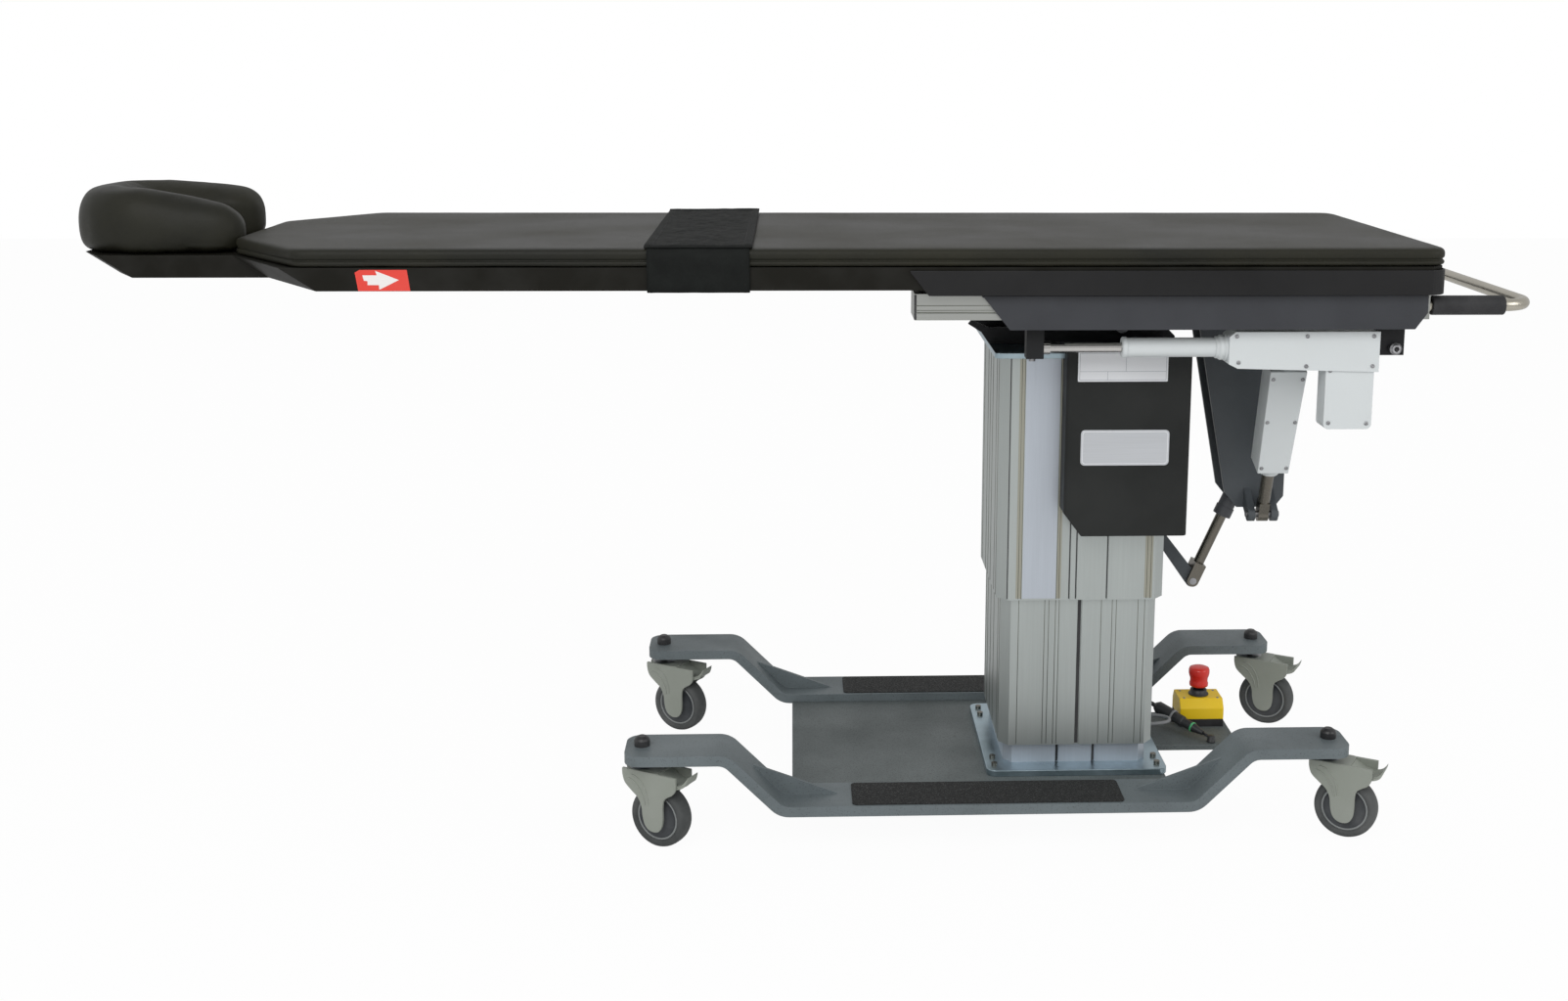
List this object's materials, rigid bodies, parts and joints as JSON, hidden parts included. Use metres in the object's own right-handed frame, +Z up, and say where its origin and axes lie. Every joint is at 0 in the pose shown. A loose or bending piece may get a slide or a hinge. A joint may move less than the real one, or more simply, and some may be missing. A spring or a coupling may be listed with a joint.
{
  "type": "radiography table",
  "caption": "Mobile C-arm imaging table: cantilevered padded top that slides, tilts and rolls on a telescopic column with a castered base.",
  "frame": {"origin": "floor level, under the middle of the table's length and width", "axes": "+X towards the foot end with the handle, -Y the near side with the control box, +Z up"},
  "size_m": [2.263, 0.6166, 1.038],
  "materials": {
    "rail_paint": "satin grey powder coat",
    "deck_paint": "textured grey powder coat",
    "tread": "gritty black tread",
    "black_cap": "matte",
    "plated_steel": "zinc plated",
    "bolt_steel": "plain",
    "column_aluminium": "satin anodised",
    "black_paint": "satin black powder coat",
    "dark_grey_paint": "satin dark grey",
    "box_black": "satin",
    "plate_white": "printed plate, left bare",
    "chromed": "polished",
    "ram_dark": "satin",
    "actuator_grey": "light grey",
    "rail_aluminium": "satin anodised",
    "pan_black": "satin black laminate",
    "vinyl": "black upholstery vinyl",
    "webbing": "black webbing",
    "steel_tube": "brushed",
    "grip_foam": "matte",
    "caster_grey": "grey moulding",
    "tyre_grey": "grey rubber",
    "stop_yellow": "yellow",
    "stop_red": "red",
    "stop_black": "black",
    "lead_black": "black",
    "lead_grey": "grey"
  },
  "bodies": {
    "base": {"base_rails": "rail_paint", "base_deck": "deck_paint", "tread_pads": "tread", "caster_bolts": "black_cap", "column_flange": "plated_steel", "flange_screws": "bolt_steel", "column_inner": "column_aluminium", "estop_base": "stop_black", "estop_cover": "stop_yellow", "lead_glands": "stop_black", "lead_connector": "lead_black", "lead_cable": "lead_black", "loop_lead": "lead_grey"},
    "lower_stage": {"column_middle": "column_aluminium"},
    "upper_stage": {"column_outer": "column_aluminium", "column_top_plate": "plated_steel", "top_plate_bolts": "bolt_steel", "column_head": "black_paint", "column_pins": "bolt_steel", "control_box": "box_black", "box_plates": "plate_white", "ram_arm": "dark_grey_paint", "tilt_ram_rod": "chromed"},
    "tilt_ram": {"tilt_ram_tube": "ram_dark"},
    "tilt_section": {"tilt_frame": "black_paint", "roll_shaft": "bolt_steel", "v_bracket": "dark_grey_paint", "bracket_pins": "bolt_steel", "roll_ram_rod": "chromed"},
    "roll_ram": {"roll_ram_housing": "actuator_grey"},
    "roll_section": {"roll_frame": "black_paint", "roll_ram_pin": "bolt_steel", "bearing_blocks": "black_cap", "slide_rod_bracket": "black_paint", "slide_rod": "chromed"},
    "table_top": {"side_rails": "rail_aluminium", "side_covers": "dark_grey_paint", "subframe": "dark_grey_paint", "table_pan": "pan_black", "mattress": "vinyl", "face_cushion": "vinyl", "patient_strap": "webbing", "handle_bar": "steel_tube", "handle_grips": "grip_foam", "slide_tube": "actuator_grey", "slide_housing": "actuator_grey", "slide_clevis": "black_paint"},
    "stop_button": {"estop_button": "stop_red"},
    "caster_head_near": {"caster_fork_head_near": "caster_grey"},
    "wheel_head_near": {"caster_wheel_head_near": "tyre_grey"},
    "pedal_head_near": {"caster_pedal_head_near": "caster_grey"},
    "caster_head_far": {"caster_fork_head_far": "caster_grey"},
    "wheel_head_far": {"caster_wheel_head_far": "tyre_grey"},
    "pedal_head_far": {"caster_pedal_head_far": "caster_grey"},
    "caster_foot_near": {"caster_fork_foot_near": "caster_grey"},
    "wheel_foot_near": {"caster_wheel_foot_near": "tyre_grey"},
    "pedal_foot_near": {"caster_pedal_foot_near": "caster_grey"},
    "caster_foot_far": {"caster_fork_foot_far": "caster_grey"},
    "wheel_foot_far": {"caster_wheel_foot_far": "tyre_grey"},
    "pedal_foot_far": {"caster_pedal_foot_far": "caster_grey"}
  },
  "joints": [
    {"name": "lift_lower", "type": "slide", "parent": "base", "child": "lower_stage", "axis": [0, 0, 1], "range_m": [0, 0.205]},
    {"name": "lift_upper", "type": "slide", "parent": "lower_stage", "child": "upper_stage", "axis": [0, 0, 1], "range_m": [-0.205, 0]},
    {"name": "tilt", "type": "hinge", "parent": "upper_stage", "child": "tilt_section", "pos_m": [0.52, 0, 0.802], "axis": [0, 1, 0], "range_deg": [-12, 12]},
    {"name": "tilt_ram_extend", "type": "slide", "parent": "upper_stage", "child": "tilt_ram", "axis": [0.3981, 0, 0.9173], "range_m": [-0.0671, 0.0671]},
    {"name": "roll", "type": "hinge", "parent": "tilt_section", "child": "roll_section", "pos_m": [0.5725, 0, 0.86], "axis": [1, 0, 0], "range_deg": [-15, 15]},
    {"name": "roll_ram_extend", "type": "slide", "parent": "tilt_section", "child": "roll_ram", "axis": [0, -0.3432, 0.9393], "range_m": [-0.0518, 0.0518]},
    {"name": "top_slide", "type": "slide", "parent": "roll_section", "child": "table_top", "axis": [1, 0, 0], "range_m": [-0.11, 0.11]},
    {"name": "stop_press", "type": "slide", "parent": "base", "child": "stop_button", "axis": [0, 0, -1], "range_m": [0, 0.005]},
    {"name": "swivel_head_near", "type": "hinge", "parent": "base", "child": "caster_head_near", "pos_m": [-0.262, -0.248, 0.13], "axis": [0, 0, 1], "continuous": true},
    {"name": "roll_wheel_head_near", "type": "hinge", "parent": "caster_head_near", "child": "wheel_head_near", "pos_m": [-0.23169, -0.2655, 0.05], "axis": [0.5, 0.866, 0], "continuous": true},
    {"name": "brake_head_near", "type": "hinge", "parent": "caster_head_near", "child": "pedal_head_near", "pos_m": [-0.21697, -0.274, 0.108], "axis": [0.5, 0.866, 0], "range_deg": [0, 12]},
    {"name": "swivel_head_far", "type": "hinge", "parent": "base", "child": "caster_head_far", "pos_m": [-0.262, 0.248, 0.13], "axis": [0, 0, 1], "continuous": true},
    {"name": "roll_wheel_head_far", "type": "hinge", "parent": "caster_head_far", "child": "wheel_head_far", "pos_m": [-0.23169, 0.2305, 0.05], "axis": [0.5, 0.866, 0], "continuous": true},
    {"name": "brake_head_far", "type": "hinge", "parent": "caster_head_far", "child": "pedal_head_far", "pos_m": [-0.21697, 0.222, 0.108], "axis": [0.5, 0.866, 0], "range_deg": [0, 12]},
    {"name": "swivel_foot_near", "type": "hinge", "parent": "base", "child": "caster_foot_near", "pos_m": [0.84, -0.248, 0.13], "axis": [0, 0, 1], "continuous": true},
    {"name": "roll_wheel_foot_near", "type": "hinge", "parent": "caster_foot_near", "child": "wheel_foot_near", "pos_m": [0.87031, -0.2655, 0.05], "axis": [0.5, 0.866, 0], "continuous": true},
    {"name": "brake_foot_near", "type": "hinge", "parent": "caster_foot_near", "child": "pedal_foot_near", "pos_m": [0.88503, -0.274, 0.108], "axis": [0.5, 0.866, 0], "range_deg": [0, 12]},
    {"name": "swivel_foot_far", "type": "hinge", "parent": "base", "child": "caster_foot_far", "pos_m": [0.84, 0.248, 0.13], "axis": [0, 0, 1], "continuous": true},
    {"name": "roll_wheel_foot_far", "type": "hinge", "parent": "caster_foot_far", "child": "wheel_foot_far", "pos_m": [0.87031, 0.2305, 0.05], "axis": [0.5, 0.866, 0], "continuous": true},
    {"name": "brake_foot_far", "type": "hinge", "parent": "caster_foot_far", "child": "pedal_foot_far", "pos_m": [0.88503, 0.222, 0.108], "axis": [0.5, 0.866, 0], "range_deg": [0, 12]}
  ],
  "couplings": [
    {"joint": "tilt_ram_extend", "follows": "tilt", "m_per_rad": -0.31084},
    {"joint": "roll_ram_extend", "follows": "roll", "m_per_rad": -0.1901}
  ]
}
